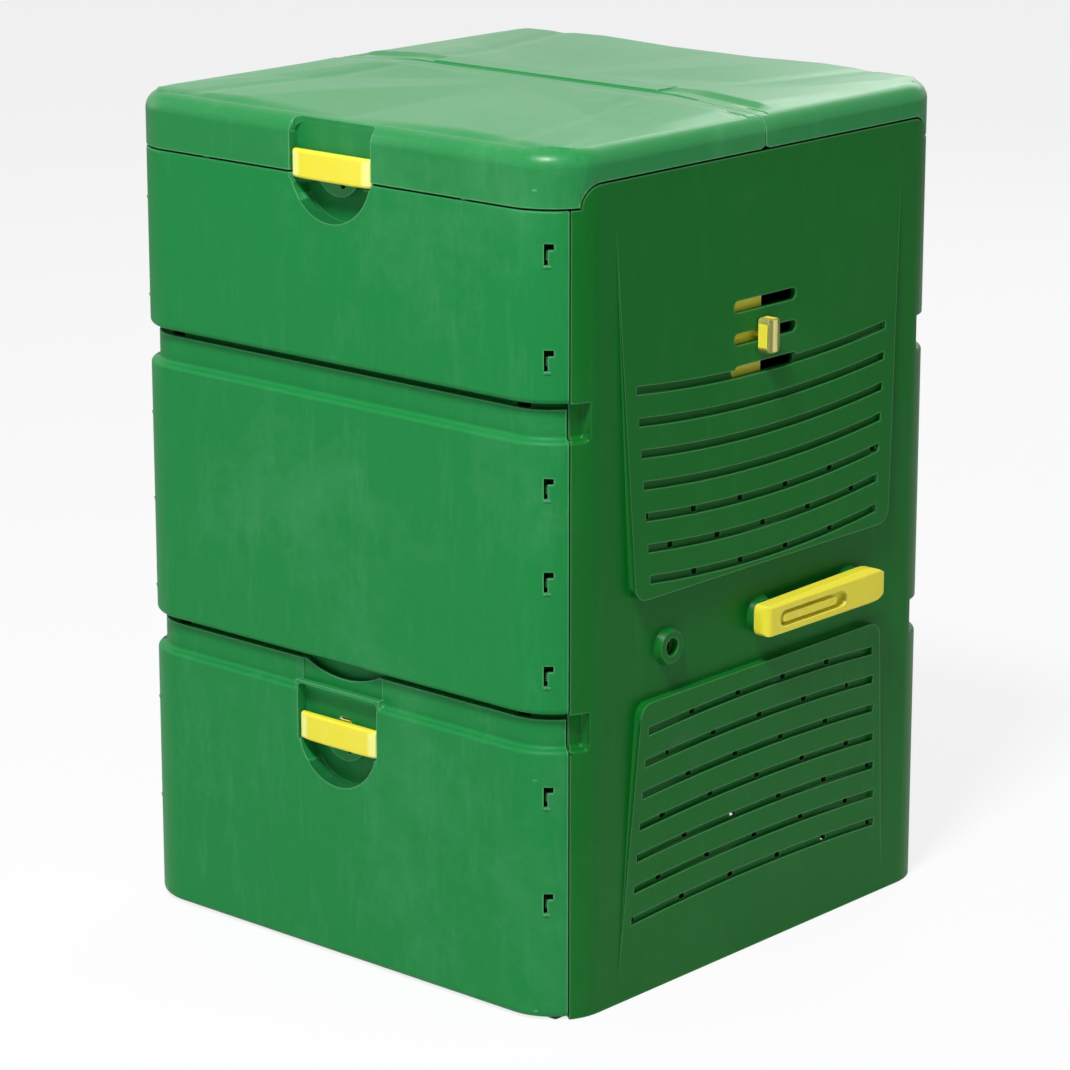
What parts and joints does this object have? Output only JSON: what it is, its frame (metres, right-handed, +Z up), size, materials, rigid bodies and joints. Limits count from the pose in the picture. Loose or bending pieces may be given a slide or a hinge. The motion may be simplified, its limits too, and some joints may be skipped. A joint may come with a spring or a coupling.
{
  "type": "compost bin",
  "caption": "Square garden compost bin with split lids, swing-down lower flaps, louvred side walls with sliding vents and a lever-turned grate",
  "frame": {"origin": "centre of the base, on the ground", "axes": "+Z up; -Y is the pictured front with its flap and latch, +X is the side wall with the lever, so the tall axis is Z"},
  "size_m": [0.8405, 0.812, 1.149],
  "materials": {
    "front_green": "moulded green plastic with a fine grain",
    "side_green": "moulded darker green plastic with a fine grain",
    "lid_green": "moulded light green plastic with a fine grain",
    "inner_green": "plain moulded green plastic, inside the bin",
    "yellow": "smooth yellow moulded plastic",
    "steel": "drawn steel rod"
  },
  "bodies": {
    "frame": {"side_wall_right": "side_green", "side_wall_left": "side_green", "front_panel_top": "front_green", "front_panel_middle": "front_green", "rear_panel_top": "front_green", "rear_panel_middle": "front_green", "ridge_beam": "inner_green", "front_lid_rod": "steel", "rear_lid_rod": "steel", "front_flap_pins": "steel", "rear_flap_pins": "steel", "front_ledge": "inner_green", "rear_ledge": "inner_green"},
    "front_lid": {"front_lid": "lid_green", "front_lid_latch_pin": "steel"},
    "rear_lid": {"rear_lid": "lid_green", "rear_lid_latch_pin": "steel"},
    "front_lid_latch": {"front_lid_latch": "yellow"},
    "rear_lid_latch": {"rear_lid_latch": "yellow"},
    "front_flap": {"front_flap": "front_green", "front_flap_latch_pin": "steel"},
    "rear_flap": {"rear_flap": "front_green", "rear_flap_latch_pin": "steel"},
    "front_flap_latch": {"front_flap_latch": "yellow"},
    "rear_flap_latch": {"rear_flap_latch": "yellow"},
    "vent_slide_right": {"vent_plate_right": "yellow", "vent_knob_right": "yellow"},
    "vent_slide_left": {"vent_plate_left": "yellow", "vent_knob_left": "yellow"},
    "front_slat": {"front_slat": "inner_green"},
    "middle_slat": {"middle_slat": "inner_green", "lever": "yellow", "lever_pin": "steel"},
    "rear_slat": {"rear_slat": "inner_green"},
    "link_bar": {"link_bar": "steel"}
  },
  "joints": [
    {"name": "front_lid_hinge", "type": "hinge", "parent": "frame", "child": "front_lid", "pos_m": [0, -0.02, 1.1362], "axis": [-1, 0, 0], "range_deg": [0, 88]},
    {"name": "rear_lid_hinge", "type": "hinge", "parent": "frame", "child": "rear_lid", "pos_m": [0, 0.02, 1.1362], "axis": [1, 0, 0], "range_deg": [0, 88]},
    {"name": "front_lid_latch_pull", "type": "hinge", "parent": "front_lid", "child": "front_lid_latch", "pos_m": [0, -0.396, 1.088], "axis": [-1, 0, 0], "range_deg": [0, 40]},
    {"name": "rear_lid_latch_pull", "type": "hinge", "parent": "rear_lid", "child": "rear_lid_latch", "pos_m": [0, 0.396, 1.088], "axis": [1, 0, 0], "range_deg": [0, 40]},
    {"name": "front_flap_hinge", "type": "hinge", "parent": "frame", "child": "front_flap", "pos_m": [0, -0.395, 0.012], "axis": [1, 0, 0], "range_deg": [0, 88]},
    {"name": "rear_flap_hinge", "type": "hinge", "parent": "frame", "child": "rear_flap", "pos_m": [0, 0.395, 0.012], "axis": [-1, 0, 0], "range_deg": [0, 88]},
    {"name": "front_flap_latch_pull", "type": "hinge", "parent": "front_flap", "child": "front_flap_latch", "pos_m": [0, -0.396, 0.326], "axis": [-1, 0, 0], "range_deg": [0, 40]},
    {"name": "rear_flap_latch_pull", "type": "hinge", "parent": "rear_flap", "child": "rear_flap_latch", "pos_m": [0, 0.396, 0.326], "axis": [1, 0, 0], "range_deg": [0, 40]},
    {"name": "vent_slide_right", "type": "slide", "parent": "frame", "child": "vent_slide_right", "axis": [0, 1, 0], "range_m": [-0.052, 0.064]},
    {"name": "vent_slide_left", "type": "slide", "parent": "frame", "child": "vent_slide_left", "axis": [0, -1, 0], "range_m": [-0.052, 0.064]},
    {"name": "grate_lever", "type": "hinge", "parent": "frame", "child": "middle_slat", "pos_m": [0, 0, 0.468], "axis": [-1, 0, 0], "range_deg": [0, 90]},
    {"name": "front_slat_turn", "type": "hinge", "parent": "frame", "child": "front_slat", "pos_m": [0, -0.192, 0.468], "axis": [-1, 0, 0], "range_deg": [0, 90]},
    {"name": "rear_slat_turn", "type": "hinge", "parent": "frame", "child": "rear_slat", "pos_m": [0, 0.192, 0.468], "axis": [-1, 0, 0], "range_deg": [0, 90]},
    {"name": "link_bar_pin", "type": "hinge", "parent": "middle_slat", "child": "link_bar", "pos_m": [0.374, 0.03535, 0.43265], "axis": [-1, 0, 0], "range_deg": [-90, 0]}
  ],
  "couplings": [
    {"joint": "front_slat_turn", "follows": "grate_lever", "ratio": 1},
    {"joint": "rear_slat_turn", "follows": "grate_lever", "ratio": 1},
    {"joint": "link_bar_pin", "follows": "grate_lever", "ratio": -1}
  ]
}
